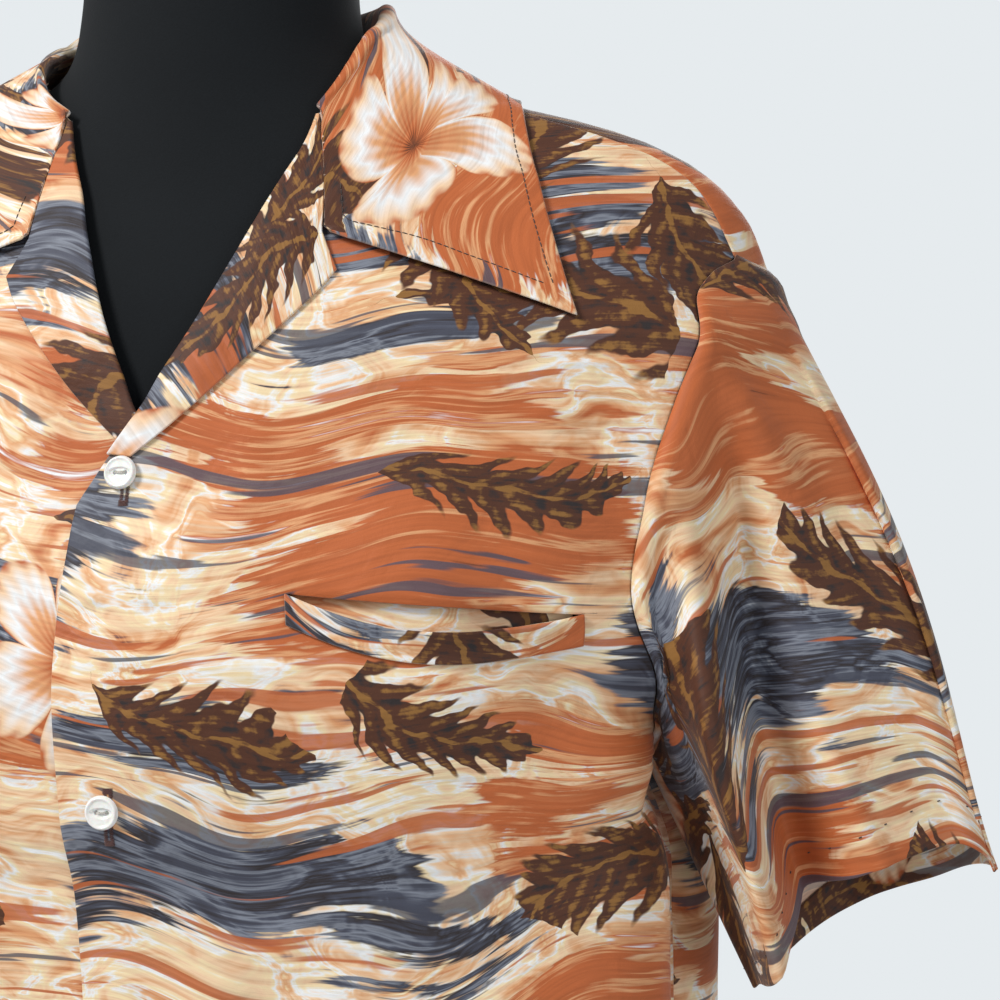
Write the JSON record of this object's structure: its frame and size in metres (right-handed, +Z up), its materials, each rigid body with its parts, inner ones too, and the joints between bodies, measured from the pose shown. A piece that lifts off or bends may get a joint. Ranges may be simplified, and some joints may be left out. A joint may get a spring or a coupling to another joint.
{
  "type": "short-sleeved shirt on dress form",
  "caption": "Short-sleeved shirt with an open collar, front buttons and an inset chest pocket, worn on a limbless dress form with a round base.",
  "frame": {"origin": "centre of the stand's underside", "axes": "+Z up through the form's neck, -Y out of the shirt's front, +X towards the wearer's left"},
  "size_m": [0.5984, 0.33, 0.92],
  "materials": {
    "printed_cloth": "smooth light woven cloth, painterly print in rust, peach, cream and slate",
    "button": "glossy white, faintly pearly",
    "form_cover": "matte black stretch cover",
    "stand_metal": "satin black"
  },
  "bodies": {
    "root": {"left_front": "printed_cloth", "right_front": "printed_cloth", "back": "printed_cloth", "left_sleeve": "printed_cloth", "right_sleeve": "printed_cloth", "collar": "printed_cloth", "left_lapel": "printed_cloth", "right_lapel": "printed_cloth", "pocket_welt": "printed_cloth", "pocket_bag": "printed_cloth", "button_1": "button", "button_2": "button", "button_3": "button", "button_4": "button", "button_5": "button", "form_torso": "form_cover", "stand_pole": "stand_metal", "stand_base": "stand_metal"}
  },
  "joints": []
}
